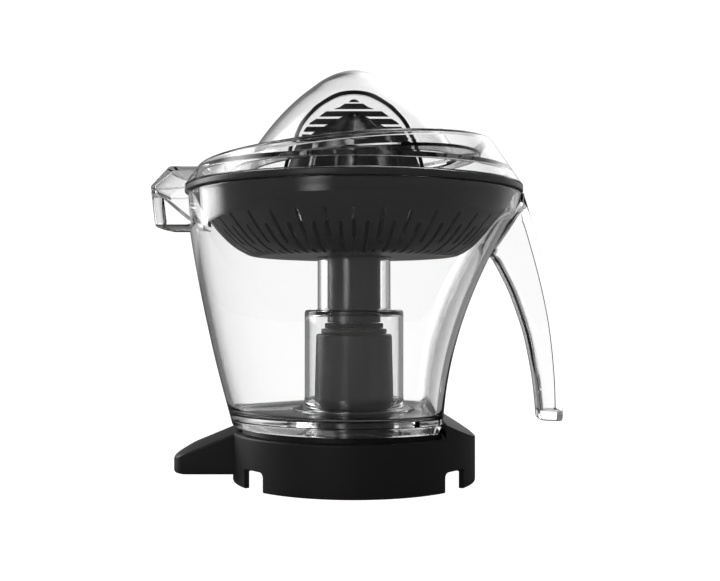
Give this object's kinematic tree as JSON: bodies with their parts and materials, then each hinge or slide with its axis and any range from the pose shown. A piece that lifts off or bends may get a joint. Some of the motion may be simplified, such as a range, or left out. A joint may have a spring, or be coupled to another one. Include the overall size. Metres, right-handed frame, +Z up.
{
  "type": "citrus press juicer",
  "caption": "Drive-on citrus press with a notched low base, clear jug with spout and hook handle, strainer basket, ribbed cone with arch press, and clear dome lid.",
  "frame": {"origin": "middle of the whole object's footprint, at the base's bottom rim; the drive axis is at x = -1.35 mm", "axes": "+Z up along the drive axis, +X towards the handle, -X towards the spout, -Y towards the viewer in front"},
  "size_m": [0.1828, 0.151, 0.1837],
  "materials": {
    "black_plastic": "fine matte moulded",
    "dark_plastic": "satin moulded",
    "hub_plastic": "satin moulded",
    "clear_plastic": "clear polished",
    "gear_plastic": "natural acetal",
    "steel": "bright zinc",
    "bronze": "sintered",
    "rubber": "matte"
  },
  "bodies": {
    "base": {"base_housing": "black_plastic", "base_cover": "black_plastic", "base_screw_1": "steel", "base_screw_2": "steel", "base_screw_3": "steel", "base_screw_4": "steel", "drive_tower": "hub_plastic", "tower_screw_1": "steel", "tower_screw_2": "steel", "tower_screw_3": "steel", "ring_gear": "gear_plastic", "input_bush": "bronze", "lower_bush": "bronze", "upper_bush": "bronze", "thrust_washer": "hub_plastic", "shaft_seal": "rubber"},
    "input": {"input_coupling": "black_plastic", "input_shaft": "steel", "sun_gear": "steel", "input_clip": "steel"},
    "spindle": {"planet_carrier": "steel", "planet_pin_1": "steel", "planet_pin_2": "steel", "planet_pin_3": "steel", "output_spindle": "steel", "drive_sleeve": "hub_plastic"},
    "planet_a": {"planet_gear_1": "gear_plastic"},
    "planet_b": {"planet_gear_2": "gear_plastic"},
    "planet_c": {"planet_gear_3": "gear_plastic"},
    "jug": {"jug": "clear_plastic"},
    "basket": {"strainer_basket": "dark_plastic"},
    "cone": {"press_cone": "dark_plastic"},
    "press": {"press_arch": "black_plastic", "press_window": "clear_plastic", "press_louvre": "dark_plastic", "press_vane_upper": "dark_plastic", "press_vane_tip": "dark_plastic"},
    "lid": {"lid": "clear_plastic"}
  },
  "joints": [
    {"name": "jug_lift", "type": "slide", "parent": "base", "child": "jug", "axis": [0, 0, 1], "range_m": [0, 0.12]},
    {"name": "basket_lift", "type": "slide", "parent": "jug", "child": "basket", "axis": [0, 0, 1], "range_m": [0, 0.08]},
    {"name": "cone_spin", "type": "hinge", "parent": "basket", "child": "cone", "pos_m": [-0.00135, 0, 0.125], "axis": [0, 0, 1], "continuous": true},
    {"name": "lid_lift", "type": "slide", "parent": "basket", "child": "lid", "axis": [0, 0, 1], "range_m": [0, 0.12]},
    {"name": "press_lift", "type": "slide", "parent": "cone", "child": "press", "axis": [0, 0, 1], "range_m": [0, 0.048]},
    {"name": "spindle_spin", "type": "hinge", "parent": "base", "child": "spindle", "pos_m": [-0.00135, 0, 0.045], "axis": [0, 0, 1], "continuous": true},
    {"name": "input_spin", "type": "hinge", "parent": "base", "child": "input", "pos_m": [-0.00135, 0, 0.01], "axis": [0, 0, 1], "continuous": true},
    {"name": "planet_a_spin", "type": "hinge", "parent": "spindle", "child": "planet_a", "pos_m": [0.02115, 0, 0.014], "axis": [0, 0, 1], "continuous": true},
    {"name": "planet_b_spin", "type": "hinge", "parent": "spindle", "child": "planet_b", "pos_m": [-0.0126, 0.01949, 0.014], "axis": [0, 0, 1], "continuous": true},
    {"name": "planet_c_spin", "type": "hinge", "parent": "spindle", "child": "planet_c", "pos_m": [-0.0126, -0.01949, 0.014], "axis": [0, 0, 1], "continuous": true}
  ],
  "couplings": [
    {"joint": "spindle_spin", "follows": "cone_spin", "ratio": 1},
    {"joint": "input_spin", "follows": "cone_spin", "ratio": 5},
    {"joint": "planet_a_spin", "follows": "cone_spin", "ratio": -2.6667},
    {"joint": "planet_b_spin", "follows": "cone_spin", "ratio": -2.6667},
    {"joint": "planet_c_spin", "follows": "cone_spin", "ratio": -2.6667},
    {"joint": "press_lift", "follows": "lid_lift", "ratio": 0.4}
  ]
}
